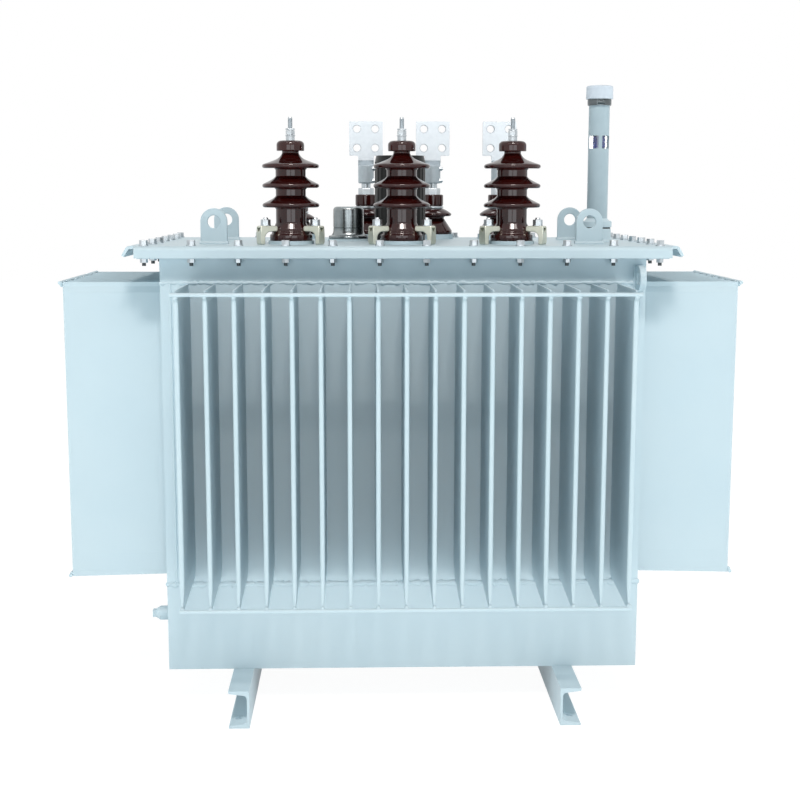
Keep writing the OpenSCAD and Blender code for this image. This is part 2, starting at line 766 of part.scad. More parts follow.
module lid_lug(side, y) {
    color(tank_paint) translate([side * (tank_w / 2 - lug_inset), y, lid_z])
        eye_plate(lug_w, lug_t, lug_hole_z, lug_hole_d);
}

module lid_lug_front_left() {
    lid_lug(-1, -lug_front_y);
}

module lid_lug_front_right() {
    lid_lug(1, -lug_front_y);
}

module lid_lug_rear_left() {
    lid_lug(-1, lug_rear_y);
}

module lid_lug_rear_right() {
    lid_lug(1, lug_rear_y);
}

// Two lugs at opposite corners of the tank
module tank_lugs() {
    color(tank_paint) for (turn = [0, 180])
        rotate([0, 0, turn])
            translate([tank_w / 2 - hook_inset, -tank_d / 2, upper_band_z + hook_h / 2 - hook_drop])
                tank_hook();
}

module hv_porcelain_1() {
    at_hv(0) hv_porcelain();
}

module hv_porcelain_2() {
    at_hv(1) hv_porcelain();
}

module hv_porcelain_3() {
    at_hv(2) hv_porcelain();
}

module hv_terminal_1() {
    at_hv(0) hv_terminal();
}

module hv_terminal_2() {
    at_hv(1) hv_terminal();
}

module hv_terminal_3() {
    at_hv(2) hv_terminal();
}

// All clamps of one bushing, standing on the lid, one of them right behind it
module hv_clamps(i) {
    color(passivated) for (k = [0:clamp_count - 1])
        translate([hv_xs[i], -hv_y, lid_z]) rotate([0, 0, 90 + k * 360 / clamp_count]) hv_clamp();
}

module hv_clamps_1() {
    hv_clamps(0);
}

module hv_clamps_2() {
    hv_clamps(1);
}

module hv_clamps_3() {
    hv_clamps(2);
}

module lv_porcelain_n() {
    at_lv(0) scale(neutral_share) lv_porcelain();
}

module lv_porcelain_a() {
    at_lv(1) lv_porcelain();
}

module lv_porcelain_b() {
    at_lv(2) lv_porcelain();
}

module lv_porcelain_c() {
    at_lv(3) lv_porcelain();
}

module lv_terminal_n() {
    at_lv(0) scale(neutral_share) neutral_terminal();
}

module lv_terminal_a() {
    at_lv(1) lv_terminal();
}

module lv_terminal_b() {
    at_lv(2) lv_terminal();
}

module lv_terminal_c() {
    at_lv(3) lv_terminal();
}

// Polished cap on a flange
module relief_valve() {
    color("#d0d3d5") translate([-relief_x, relief_y, lid_z + relief_seat_h]) rotate_extrude() polygon(concat(
        [[0, 0], [relief_flange_r, 0]],
        shoulder_points(relief_flange_h, relief_flange_h + relief_flare_h, relief_flange_r, relief_r),
        arc_points(relief_r - relief_edge_r, relief_h - relief_edge_r, relief_edge_r, 0, 90),
        [[0, relief_h]]
    ));
}

// Dark fluted cylinder with a plain foot and shoulder
module tap_changer_cover() {
    color("#1b1d1e") translate([0, tap_y, lid_z]) {
        cylinder(r = tap_r, h = tap_foot_h);
        translate([0, 0, tap_foot_h]) linear_extrude(tap_h - 2 * tap_foot_h) difference() {
            circle(r = tap_r);
            for (i = [0:tap_ribs - 1])
                rotate(i * 360 / tap_ribs) translate([tap_r, 0]) circle(r = tap_flute_r, $fn = 24);
        }
        translate([0, 0, tap_h - tap_foot_h])
            cylinder(r1 = tap_r, r2 = tap_r * tap_shoulder_share, h = tap_foot_h);
    }
}

// Welded socket, a narrow gap and the ring that holds the tube
module gauge_socket() {
    color(tank_paint) at_gauge(0) {
        cylinder(r = gauge_socket_r, h = gauge_socket_h);
        translate([0, 0, gauge_socket_h]) cylinder(r = gauge_socket_r - gauge_gap_h, h = gauge_gap_h);
        translate([0, 0, gauge_socket_h + gauge_gap_h]) cylinder(r = gauge_ring_r, h = gauge_ring_h);
    }
}

// Tube with four sight slots
module gauge_tube() {
    color("#c9d7de") at_gauge(gauge_foot_h) difference() {
        cylinder(r = gauge_tube_r, h = gauge_tube_h);
        translate([0, 0, -cut]) cylinder(r = gauge_tube_r - gauge_tube_t, h = gauge_tube_h + 2 * cut);
        for (turn = [0, 90])
            rotate(turn + 45) translate([-gauge_tube_r - cut, -gauge_slot_w / 2, gauge_slot_z])
                cube([2 * (gauge_tube_r + cut), gauge_slot_w, gauge_slot_h]);
    }
}

module gauge_sleeve() {
    sleeve_r = gauge_tube_r - gauge_tube_t - slide_clear;
    color("#dfe9ee", 0.5) at_gauge(gauge_foot_h) difference() {
        cylinder(r = sleeve_r, h = gauge_tube_h);
        translate([0, 0, -cut]) cylinder(r = sleeve_r - gauge_glass_t, h = gauge_tube_h + 2 * cut);
    }
}

module gauge_float() {
    float_r = gauge_tube_r - gauge_tube_t - 2 * slide_clear - gauge_glass_t;
    color("#1d2f57") at_gauge(gauge_foot_h) cylinder(r = float_r, h = gauge_slot_z + gauge_slot_h);
}

module gauge_band() {
    color("#b9bec1") at_gauge(gauge_foot_h + gauge_tube_h) cylinder(r = gauge_band_r, h = gauge_band_h);
}

module gauge_cap() {
    color("#cbd9df") at_gauge(gauge_foot_h + gauge_tube_h + gauge_band_h) rotate_extrude() polygon([
        [0, 0], [gauge_cap_r, 0], [gauge_cap_r, gauge_cap_h - gauge_cap_edge],
        [gauge_cap_r - gauge_cap_edge, gauge_cap_h], [0, gauge_cap_h]
    ]);
}

// Stub on the left wall with a square-headed plug
module drain_plug() {
    color(tank_paint) translate([-tank_w / 2, -drain_y, drain_z]) rotate([0, -90, 0]) {
        cylinder(d = drain_d, h = drain_len * (1 - drain_taper_share));
        translate([0, 0, drain_len * (1 - drain_taper_share)])
            cylinder(d1 = drain_d, d2 = drain_d * drain_tip_share, h = drain_len * drain_taper_share);
        translate([-drain_plug_w / 2, -drain_plug_w / 2, drain_len])
            cube([drain_plug_w, drain_plug_w, drain_plug_len]);
    }
}

left_skid();
right_skid();
tank_floor();
lower_band();
front_fin_wall();
rear_fin_wall();
left_fin_wall();
right_fin_wall();
front_fin_rods();
rear_fin_rods();
left_fin_rods();
right_fin_rods();
upper_band();
tank_flange();
lid_gasket();
lid();
lid_lug_front_left();
lid_lug_front_right();
lid_lug_rear_left();
lid_lug_rear_right();
tank_lugs();
hv_porcelain_1();
hv_porcelain_2();
hv_porcelain_3();
hv_terminal_1();
hv_terminal_2();
hv_terminal_3();
hv_clamps_1();
hv_clamps_2();
hv_clamps_3();
lv_porcelain_n();
lv_porcelain_a();
lv_porcelain_b();
lv_porcelain_c();
lv_terminal_n();
lv_terminal_a();
lv_terminal_b();
lv_terminal_c();
relief_valve();
tap_changer_cover();
gauge_socket();
gauge_tube();
gauge_sleeve();
gauge_float();
gauge_band();
gauge_cap();
drain_plug();
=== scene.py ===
import bpy
import bmesh
import json
import random
from math import cos, dist, pi, radians, sin
from mathutils import Matrix, Vector


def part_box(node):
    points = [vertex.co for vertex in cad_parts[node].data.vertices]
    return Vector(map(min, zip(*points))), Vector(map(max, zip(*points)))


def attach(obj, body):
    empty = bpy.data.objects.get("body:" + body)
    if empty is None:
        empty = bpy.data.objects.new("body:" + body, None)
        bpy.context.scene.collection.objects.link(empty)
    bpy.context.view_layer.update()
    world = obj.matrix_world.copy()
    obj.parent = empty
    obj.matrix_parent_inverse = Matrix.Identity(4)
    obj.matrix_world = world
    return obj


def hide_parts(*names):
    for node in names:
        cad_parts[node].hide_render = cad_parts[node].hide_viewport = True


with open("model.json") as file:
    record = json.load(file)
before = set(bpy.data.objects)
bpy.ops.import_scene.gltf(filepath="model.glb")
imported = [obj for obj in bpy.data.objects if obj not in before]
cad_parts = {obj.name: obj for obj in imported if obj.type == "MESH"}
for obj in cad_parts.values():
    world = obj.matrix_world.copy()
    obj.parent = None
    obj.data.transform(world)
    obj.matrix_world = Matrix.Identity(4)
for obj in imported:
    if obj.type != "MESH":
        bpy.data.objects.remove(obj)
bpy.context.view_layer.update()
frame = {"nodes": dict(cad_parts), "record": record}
dice = random.Random(41)


def mm(*sizes):  # millimetres to metres
    return sizes[0] / 1000 if len(sizes) == 1 else Vector(s / 1000 for s in sizes)


def corners(node):
    low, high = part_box(node)
    return Vector(low), Vector(high)


def footOf(node):  # point on the node's axis at its lowest level
    low, high = corners(node)
    return Vector(((low.x + high.x) / 2, (low.y + high.y) / 2, low.z))


lidTop = corners("lid_lug_front_left")[0].z
tankLow, tankHigh = corners("lower_band")
finTop = corners("front_fin_wall")[1].z
flangeLow, flangeHigh = corners("tank_flange")


# Studio

studio = {
    "place": (-0.0906, -3.0957, 1.0865),  # camera, metres
    "yaw": 1.677, "pitch": 8.533, "roll": 0.063,  # degrees
    "focal": 1364.5, "frameWidth": 800,  # pixels of the photograph
    "sensor": 36.0,
    "ambient": 0.18,  # sky level for soft light
    "sky": (0.64, 1.0, 1.12, 1),  # cool tone of the soft light
    "paper": "#F8F9F9",
    "floorSize": 14.0,  # metres
    "floorWhite": 0.86,  # how far the floor gives way to plain white
    "farWhite": 0.92, "fadeFrom": 4.0, "fadeFull": 10.0,  # the same far off, and where it begins and is full
    "floorGlow": 1.10,
    "floorBounce": 0.70,  # soft light that the floor before the object sends back up
    "bounceFrom": -0.25, "bounceFull": -0.60,  # where that light begins and is full, metres
    "bounceTone": (0.92, 1.0, 1.03, 1),
}
lamps = {  # place, target, width and height in metres, then watts, tone and whether it is mirrored
    "high softbox": ((0.1, -6.0, 8.4), (0, 0, 0.6), 2.2, 1.0, 475, (1.0, 0.905, 0.855), True),
    "high strip": ((0.2, -3.4, 5.2), (0, 0, 0.6), 7.0, 0.3, 62, (1.0, 0.935, 0.895), True),
    "left front fill": ((-1.25, -4.3, 1.16), (0, 0, 0.95), 2.2, 0.9, 14, (0.96, 1.0, 1.03), True),
    "right front fill": ((1.25, -4.3, 1.16), (0, 0, 0.95), 2.2, 0.9, 14, (0.96, 1.0, 1.03), True),
    "rim strip": ((0, 1.3, 3.6), (0, -0.1, 1.1), 2.2, 0.25, 10, (1, 1, 1), True),
    "rear fill": ((0, 6.5, 1.6), (0, 0, 0.7), 2.6, 1.2, 160, (1.0, 0.955, 0.92), False),
    "left fill": ((-6.5, 0.6, 1.6), (0, 0, 0.7), 2.6, 1.2, 160, (1.0, 0.955, 0.92), False),
    "right fill": ((6.5, 0.6, 1.6), (0, 0, 0.7), 2.6, 1.2, 160, (1.0, 0.955, 0.92), False),
}


def makeCamera():
    data = bpy.data.cameras.new("camera")
    data.sensor_width = studio["sensor"]
    data.lens = studio["focal"] / studio["frameWidth"] * studio["sensor"]
    camera = bpy.data.objects.new("camera", data)
    turn = Matrix.Rotation(-radians(studio["yaw"]), 4, "Z")
    turn = turn @ Matrix.Rotation(radians(90 - studio["pitch"]), 4, "X")
    turn = turn @ Matrix.Rotation(radians(studio["roll"]), 4, "Z")
    camera.matrix_world = Matrix.Translation(studio["place"]) @ turn
    bpy.context.collection.objects.link(camera)
    bpy.context.scene.camera = camera


def hexColour(text):  # sRGB hex to linear
    parts = [int(text[i:i + 2], 16) / 255 for i in (1, 3, 5)]
    return [p / 12.92 if p <= 0.04045 else ((p + 0.055) / 1.055) ** 2.4 for p in parts] + [1.0]


def perMetre(millimetres):  # pattern scale for a feature of this size
    return 1000 / millimetres


def addNode(tree, kind, settings=None, links=None):
    node = tree.nodes.new(kind)
    for name, value in (settings or {}).items():
        if isinstance(name, int) or name in node.inputs:
            node.inputs[name].default_value = value
        else:
            setattr(node, name, value)
    for name, (source, output) in (links or {}).items():
        tree.links.new(source.outputs[output], node.inputs[name])
    return node


def seenDirectly(tree):  # 1 for camera, glossy and transmission rays
    rays = addNode(tree, "ShaderNodeLightPath")
    both = addNode(tree, "ShaderNodeMath", {"operation": "MAXIMUM"},
                   {0: (rays, "Is Camera Ray"), 1: (rays, "Is Glossy Ray")})
    return addNode(tree, "ShaderNodeMath", {"operation": "MAXIMUM"},
                   {0: (both, 0), 1: (rays, "Is Transmission Ray")})


def makeWorld():
    world = bpy.data.worlds.new("studio")
    bpy.context.scene.world = world
    world.use_nodes = True
    tree = world.node_tree
    tree.nodes.clear()
    seen = seenDirectly(tree)
    level = addNode(tree, "ShaderNodeMapRange", {"To Min": studio["ambient"], "To Max": 1.0},
                    {"Value": (seen, 0)})
    ends = {"data_type": "RGBA", 6: studio["sky"], 7: (1, 1, 1, 1)}  # the mix node's two colours
    tone = addNode(tree, "ShaderNodeMix", ends, {0: (seen, 0)})
    glow = addNode(tree, "ShaderNodeBackground", links={"Color": (tone, 2), "Strength": (level, 0)})
    addNode(tree, "ShaderNodeOutputWorld", links={"Surface": (glow, 0)})


def makeLamp(name, place, target, width, height, watts, tone, mirrored):
    data = bpy.data.lights.new(name, "AREA")
    data.shape = "RECTANGLE"
    data.size, data.size_y = width, height
    data.energy, data.color = watts, tone
    lamp = bpy.data.objects.new(name, data)
    lamp.location = place
    lamp.visible_glossy = mirrored  # off where glaze and metal would mirror the lamp
    lamp.rotation_euler = (Vector(target) - Vector(place)).to_track_quat("-Z", "Y").to_euler()
    bpy.context.collection.objects.link(lamp)


def makeFloor():
    bm = bmesh.new()
    bmesh.ops.create_grid(bm, x_segments=1, y_segments=1, size=studio["floorSize"])
    mesh = bpy.data.meshes.new("floor")
    bm.to_mesh(mesh)
    bm.free()
    material = bpy.data.materials.new("pale studio floor")
    material.use_nodes = True
    tree = material.node_tree
    tree.nodes.clear()
    paper = addNode(tree, "ShaderNodeBsdfDiffuse", {"Color": hexColour(studio["paper"])})
    place = addNode(tree, "ShaderNodeTexCoord")
    axes = addNode(tree, "ShaderNodeSeparateXYZ", links={0: (place, "Object")})
    span = {"From Min": studio["bounceFrom"], "From Max": studio["bounceFull"],
            "To Min": 0.0, "To Max": studio["floorBounce"]}
    before = addNode(tree, "ShaderNodeMapRange", span, {"Value": (axes, "Y")})
    bounce = addNode(tree, "ShaderNodeEmission", {"Color": studio["bounceTone"]}, {"Strength": (before, 0)})
    matte = addNode(tree, "ShaderNodeAddShader", links={0: (paper, 0), 1: (bounce, 0)})
    white = addNode(tree, "ShaderNodeEmission", {"Color": (1, 1, 1, 1), "Strength": studio["floorGlow"]})
    seen = seenDirectly(tree)
    away = addNode(tree, "ShaderNodeVectorMath", {"operation": "LENGTH"}, {0: (place, "Object")})
    span = {"From Min": studio["fadeFrom"], "From Max": studio["fadeFull"],
            "To Min": studio["floorWhite"], "To Max": studio["farWhite"]}
    fade = addNode(tree, "ShaderNodeMapRange", span, {"Value": (away, "Value")})
    share = addNode(tree, "ShaderNodeMath", {"operation": "MULTIPLY"}, {0: (seen, 0), 1: (fade, 0)})
    mix = addNode(tree, "ShaderNodeMixShader", links={"Fac": (share, 0), 1: (matte, 0), 2: (white, 0)})
    addNode(tree, "ShaderNodeOutputMaterial", links={"Surface": (mix, 0)})
    mesh.materials.append(material)
    floor = bpy.data.objects.new("floor", mesh)
    bpy.context.collection.objects.link(floor)


makeCamera()
makeWorld()
for name, settings in lamps.items():
    makeLamp(name, *settings)
makeFloor()
bpy.context.scene.view_settings.view_transform = "Standard"
print("studio ready")


# Materials

def surface(name, skin, tones=None, gloss=None):
    # colour and roughness each drift between two values on a noise of their own, a third noise gives the bump
    material = bpy.data.materials.new(name)
    material.use_nodes = True
    tree = material.node_tree
    tree.nodes.clear()
    shader = addNode(tree, "ShaderNodeBsdfPrincipled", skin["shader"])
    addNode(tree, "ShaderNodeOutputMaterial", links={"Surface": (shader, 0)})
    place = addNode(tree, "ShaderNodeTexCoord")
    noise = {}
    for use, (size, detail) in skin["noise"].items():
        grain = {"Scale": perMetre(size), "Detail": detail}
        noise[use] = addNode(tree, "ShaderNodeTexNoise", grain, {"Vector": (place, "Object")})
    if tones:
        ends = {"data_type": "RGBA", 6: hexColour(tones[0]), 7: hexColour(tones[1])}
        mix = addNode(tree, "ShaderNodeMix", ends, {0: (noise["tone"], 0)})
        tree.links.new(mix.outputs[2], shader.inputs["Base Color"])
    if gloss:
        ends = {"To Min": gloss[0], "To Max": gloss[1]}
        rough = addNode(tree, "ShaderNodeMapRange", ends, {"Value": (noise["gloss"], 0)})
        tree.links.new(rough.outputs[0], shader.inputs["Roughness"])
    relief = {"Strength": skin["bump"], "Distance": mm(skin["height"])}
    bump = addNode(tree, "ShaderNodeBump", relief, {"Height": (noise["bump"], 0)})
    tree.links.new(bump.outputs[0], shader.inputs["Normal"])
    return material


# each noise has a feature size in millimetres and a detail, each bump a strength and a height in millimetres
enamel = {  # sprayed alkyd enamel on sheet steel: soft gloss, slight drift in tone, faint orange peel
    "noise": {"tone": (160, 2.0), "gloss": (35, 2.0), "bump": (4, 1.0)},  # peel coarser than real
    "bump": 0.12, "height": 0.15,
    "shader": {"IOR": 1.5, "Specular IOR Level": 0.35},
}
glaze = {  # iron-brown glaze on wet-process porcelain: deep colour under a glassy skin with slow waves
    "noise": {"tone": (25, 2.0), "gloss": (12, 2.0), "bump": (9, 1.0)},
    "bump": 0.03, "height": 0.2,
    "shader": {"IOR": 1.5, "Specular IOR Level": 0.45},
}
casting = {  # yellow chromate on a zinc-coated casting: matt, olive and straw drifts, sand-cast skin
    "noise": {"tone": (14, 2.0), "gloss": (6, 2.0), "bump": (2.2, 2.0)},  # skin a little coarser than real
    "bump": 0.25, "height": 0.15,
    "shader": {"Metallic": 0.6},
}
plastic = {  # moulded or extruded plastic and rubber: even colour, satin to matt skin
    "noise": {"tone": (20, 2.0), "gloss": (8, 2.0), "bump": (1.5, 2.0)},
    "bump": 0.08, "height": 0.05,
    "shader": {"IOR": 1.49, "Specular IOR Level": 0.35},
}
acrylic = {  # extruded acrylic tube: clear, slightly wavy wall
    "noise": {"bump": (12, 2.0)},
    "bump": 0.05, "height": 0.1,
    "shader": {"Base Color": hexColour("#F4F8FA"), "Roughness": 0.04, "IOR": 1.49,
               "Transmission Weight": 1.0},
}


def metalSkin(grain, metallic=1.0):  # plated, rolled or machined metal: fine grain, soft reflections
    return {
        "noise": {"tone": (grain * 8, 2.0), "gloss": (grain * 3, 2.0), "bump": (grain, 2.0)},
        "bump": 0.10, "height": 0.05,
        "shader": {"Metallic": metallic},
    }


zinc, tin, alloy, stainless = metalSkin(1.2), metalSkin(1.6, 0.8), metalSkin(1.6, 0.35), metalSkin(2.0)
finish = {
    # cool pale coat over the whole tank
    "tank_paint": surface("pale blue-grey enamelled steel", enamel, ("#B8CCD5", "#C0D1D8"), (0.38, 0.48)),
    "brown_porcelain": surface("brown glazed porcelain", glaze, ("#260807", "#350D0B"), (0.03, 0.06)),
    # bright, slightly blue fasteners, and paler terminals beside them
    "zinc_steel": surface("zinc-plated steel", zinc, ("#AAB2B7", "#CED5D9"), (0.30, 0.44)),
    "tinned_metal": surface("tinned brass", tin, ("#CAD2D7", "#DAE0E5"), (0.40, 0.52)),
    # darker mirror on the relief valve's cap
    "stainless_steel": surface("polished stainless steel", stainless, ("#7F8688", "#959C9E"), (0.20, 0.28)),
    "passivated_casting": surface("yellow-passivated casting", casting, ("#BEC3B4", "#DEDED0"), (0.24, 0.40)),
    # near black tap changer cover, soft grey gauge tube
    "black_moulding": surface("black phenolic moulding", plastic, ("#060808", "#0B0E0E"), (0.26, 0.36)),
    "gauge_tube_paint": surface("pale grey rigid tube", plastic, ("#9DB0B9", "#A7B9C1"), (0.36, 0.46)),
    # glassy window with a strong blue mark behind it
    "clear_sleeve": surface("clear acrylic", acrylic),
    "float_blue": surface("navy blue float", plastic, ("#10287A", "#183590"), (0.30, 0.40)),
    # dull black line under the lid
    "gasket_rubber": surface("black nitrile rubber", plastic, ("#151515", "#202020"), (0.60, 0.75)),
}
# near white cap, dark bolt tips, dark shiny hose band, dull grey clamp bodies; the clamp alloy also makes the
# painted shade rings round the flag holes
capMoulding = surface("off-white moulded cap", plastic, ("#BCC8D3", "#C8D2DC"), (0.34, 0.44))
boltThread = surface("dark oiled bolt thread", zinc, ("#3E4446", "#565C5E"), (0.40, 0.55))
hoseBand = surface("brushed stainless band", stainless, ("#5A6062", "#70777A"), (0.20, 0.28))
clampAlloyAndHoleShade = surface("dull aluminium alloy", alloy, ("#A3AEB5", "#B8C3C9"), (0.42, 0.55))

for part in frame["record"]["subparts"]:
    for place in frame["nodes"][part["node"]].material_slots:
        place.material = finish[part["material_slot"]]
print("materials on", len(frame["nodes"]), "nodes")


# Shared ways of making a shape

def finishPiece(name, bm, slot, replaced=(), sharp=38, look=None):
    bmesh.ops.recalc_face_normals(bm, faces=bm.faces[:])
    for face in bm.faces:
        face.smooth = True
    for edge in bm.edges:
        edge.smooth = edge.is_manifold and edge.calc_face_angle(0) < radians(sharp)
    mesh = bpy.data.meshes.new(name)
    bm.to_mesh(mesh)
    bm.free()
    mesh.materials.append(look or finish[slot])
    piece = bpy.data.objects.new(name, mesh)
    bpy.context.collection.objects.link(piece)
    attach(piece, "root")
    if replaced:
        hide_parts(*replaced)


def turnZ(degrees):
    return Matrix.Rotation(radians(degrees), 4, "Z")


def arc(x, z, r, start, end, steps):  # points on a circle, angles in degrees
    turns = [radians(start + (end - start) * i / steps) for i in range(steps + 1)]
    return [(x + r * cos(t), z + r * sin(t)) for t in turns]


def footRound(edge, level, r, steps=3):  # rounding at the lower end of an edge
    return arc(edge - r, level + r, r, -90, 0, steps)


def headRound(edge, level, r, end=90, steps=4):  # rounding at the upper end of an edge
    return arc(edge - r, level - r, r, 0, end, steps)


def holdStraights(outline, longest=9, gap=0.8):
    # extra points near the ends of long straights keep their shading flat
    held = outline[:1]
    for a, b in zip(outline, outline[1:]):
        run = dist(a, b)
        if run > longest:
            held += [tuple(p + (q - p) * t for p, q in zip(a, b)) for t in (gap / run, 1 - gap / run)]
        held.append(b)
    return held


def lathe(bm, outline, centre, steps=64):  # outline of (radius, height) in millimetres, turned about Z
    before = set(bm.verts)
    dots = [bm.verts.new((mm(r), 0, mm(z))) for r, z in holdStraights(outline)]
    lines = [bm.edges.new(pair) for pair in zip(dots, dots[1:])]
    bmesh.ops.spin(bm, geom=dots + lines, cent=(0, 0, 0), axis=(0, 0, 1), angle=2 * pi, steps=steps,
                   use_merge=True)
    made = [v for v in bm.verts if v not in before]
    bmesh.ops.remove_doubles(bm, verts=made, dist=mm(0.01))
    made = [v for v in bm.verts if v not in before]
    bmesh.ops.translate(bm, verts=made, vec=centre)


def rod(bm, foot, diameter, height, segments=24, chamfer=0.0, turn=None):
    # foot in metres, the other sizes in millimetres
    way = Matrix.Translation(foot) @ (turn or Matrix()) @ Matrix.Translation((0, 0, mm(height) / 2))
    radius = mm(diameter) / 2
    made = bmesh.ops.create_cone(bm, cap_ends=True, segments=segments, radius1=radius, radius2=radius,
                                 depth=mm(height), matrix=way)["verts"]
    if chamfer:
        top = way @ Vector((0, 0, mm(height) / 2))
        up = way.to_3x3() @ Vector((0, 0, 1))
        rim = {e for v in made for e in v.link_edges
               if all(abs((w.co - top).dot(up)) < 1e-6 for w in e.verts)}
        bmesh.ops.bevel(bm, geom=list(rim), offset=mm(chamfer), offset_type="OFFSET", segments=2, profile=0.5,
                        affect="EDGES", material=-1)


def hexBar(bm, foot, flats, height, chamfer=1.0, turn=None):
    rod(bm, foot, flats / cos(pi / 6), height, 6, chamfer, turn)


def vertsOf(geometry):
    return [g for g in geometry if isinstance(g, bmesh.types.BMVert)]


def softenEdges(bm, before, offset, segments=2, angle=50):
    # bevels the sharp edges made since the list was taken
    sharp = [e for e in bm.edges
             if e not in before and e.is_manifold and e.calc_face_angle(0) > radians(angle)]
    bmesh.ops.bevel(bm, geom=sharp, offset=mm(offset), offset_type="OFFSET", segments=segments, profile=0.5,
                    affect="EDGES", clamp_overlap=True, material=-1)


def plate(bm, outline, holes, thick, way, edge):
    # flat plate in the local X-Z plane, outline (x, z) and round holes (x, z, radius) in millimetres
    before = set(bm.edges)
    dots = [bm.verts.new(mm(x, -thick / 2, z)) for x, z in outline]
    rims = [bm.edges.new(pair) for pair in zip(dots, dots[1:] + dots[:1])]
    for x, z, r in holes:
        spot = Matrix.Translation(mm(x, -thick / 2, z)) @ Matrix.Rotation(pi / 2, 4, "X")
        ring = bmesh.ops.create_circle(bm, segments=36, radius=mm(r), matrix=spot)["verts"]
        dots += ring
        rims += list({e for v in ring for e in v.link_edges})
    skin = bmesh.ops.triangle_fill(bm, use_beauty=True, edges=rims, normal=(0, -1, 0))["geom"]
    faces = [g for g in skin if isinstance(g, bmesh.types.BMFace)]
    back = vertsOf(bmesh.ops.extrude_face_region(bm, geom=faces)["geom"])
    bmesh.ops.translate(bm, verts=back, vec=mm(0, thick, 0))
    bmesh.ops.transform(bm, matrix=way, verts=dots + back)
    bmesh.ops.recalc_face_normals(bm, faces=bm.faces[:])
    softenEdges(bm, before, edge, 1)


def weldBead(bm, path, radius, step, ripple, wander=0.5):
    # rippled bead along straight runs, path in metres, radius, step and wander in millimetres
    for start, end in zip(path, path[1:]):
        along = end - start
        count = max(2, int(along.length / mm(step)))
        aim = along.to_track_quat("Z", "X").to_matrix().to_4x4()
        ring = bmesh.ops.create_circle(bm, cap_ends=True, segments=10, radius=mm(radius),
                                       matrix=Matrix.Translation(start) @ aim)["verts"]
        edges = list({e for v in ring for e in v.link_edges})
        size, sway = 1.0, Vector()
        for i in range(count):
            made = set(vertsOf(bmesh.ops.extrude_edge_only(bm, edges=edges)["geom"]))
            edges = list({e for v in made for e in v.link_edges if e.other_vert(v) in made})
            target = dice.uniform(1 - ripple, 1 + ripple)
            drift = aim.to_3x3() @ mm(dice.uniform(-wander, wander), dice.uniform(-wander, wander), 0)
            bmesh.ops.translate(bm, verts=list(made), vec=along / count + drift - sway)
            middlePoint = start + along * ((i + 1) / count) + drift
            bmesh.ops.scale(bm, verts=list(made), vec=[target / size] * 3,
                            space=Matrix.Translation(-middlePoint))
            size, sway = target, drift
        bmesh.ops.edgeloop_fill(bm, edges=edges)


# Porcelain bushings

hvShape = {  # radii, and levels above the porcelain's foot, millimetres
    "base": 45.2, "baseRound": 2.0, "collar": 13.5, "collarRound": 2.5,
    "ledge": 41.0, "ledgeLevel": 19.5, "ledgeRound": 2.0,
    "cone": 38.4, "coneFoot": 25.0, "coneTop": 36.6, "flare": 40.0, "body": 32.0,
    "shed": 60.3, "tip": 4.8, "fillet": 3.0, "firstShed": 74.5, "shedPitch": 40.8, "sheds": 3,
    "rise": 20.0, "even": 0.8, "topRise": 27.0, "topEven": 0.62,
    "neck": 17.8, "capFoot": 187.6, "cap": 29.2, "capHeight": 21.5, "capEdge": 1.5, "capRound": 9.0,
}
lvShape = {  # the same for a low voltage bushing
    "base": 46.5, "rim": 8.0, "waist": 26.5, "cone": 38.5,
    "shed": 45.3, "shedLevel": 46.0, "tip": 4.2, "shedTop": 59.6, "even": 1.35, "power": 2,
    "seal": 25.5, "capFoot": 65.8, "cap": 25.5, "capTop": 92.8, "capRound": 3.0,
    "sealRing": ((22, 59.8), (25.6, 60.4), (26.2, 62.8), (25.6, 65.2), (22, 65.7)),
}


def shedOutline(level, edge, tip, rise, above, even, power=8, steps=14):
    # round edge, then an even slope that turns up into the body above, or rounds off where even is over 1
    nose = arc(edge - tip, level, tip, -90, 65, 7)
    startR, startZ = nose[-1]
    slope = []
    for i in range(1, steps + 1):
        t = sin(radians(90 * i / steps))
        slope.append((startR + (above - startR) * t,
                      startZ + (level + rise - startZ) * (even * t + (1 - even) * t ** power)))
    return nose + slope


def hvOutline():
    s = hvShape
    capTop = s["capFoot"] + s["capHeight"]
    points = [(0, 0), (s["base"] - s["baseRound"], 0)] + footRound(s["base"], 0, s["baseRound"])
    points += headRound(s["base"], s["collar"], s["collarRound"], 65)
    points.append((s["ledge"] + 0.6, s["collar"] + 1.4))
    points += headRound(s["ledge"], s["ledgeLevel"], s["ledgeRound"], 70)
    # shoulder that the clamps press on, eased in and out
    points += [(s["cone"] + 0.4, s["coneFoot"] - 4), (s["cone"] + 0.2, s["coneFoot"] - 1)]
    points += [(s["cone"], s["coneFoot"]), (s["body"] + 0.6, s["coneTop"])]
    points += [(s["body"] + 0.15, s["coneTop"] + 1.5), (s["body"], s["flare"])]
    for i in range(s["sheds"]):
        level = s["firstShed"] + i * s["shedPitch"]
        under = level - s["tip"]
        points += [(s["body"], under - s["fillet"]), (s["body"] + s["fillet"], under)]
        rise, above, even = s["rise"], s["body"], s["even"]
        if i == s["sheds"] - 1:
            rise, above, even = s["topRise"], s["neck"], s["topEven"]
        points += shedOutline(level, s["shed"], s["tip"], rise, above, even)
    points += [(s["neck"], s["capFoot"] - 1), (s["neck"] + 1, s["capFoot"])]
    points += [(s["cap"] - s["capEdge"], s["capFoot"])] + footRound(s["cap"], s["capFoot"], s["capEdge"])
    return points + headRound(s["cap"], capTop, s["capRound"], 90, 7) + [(0, capTop)]


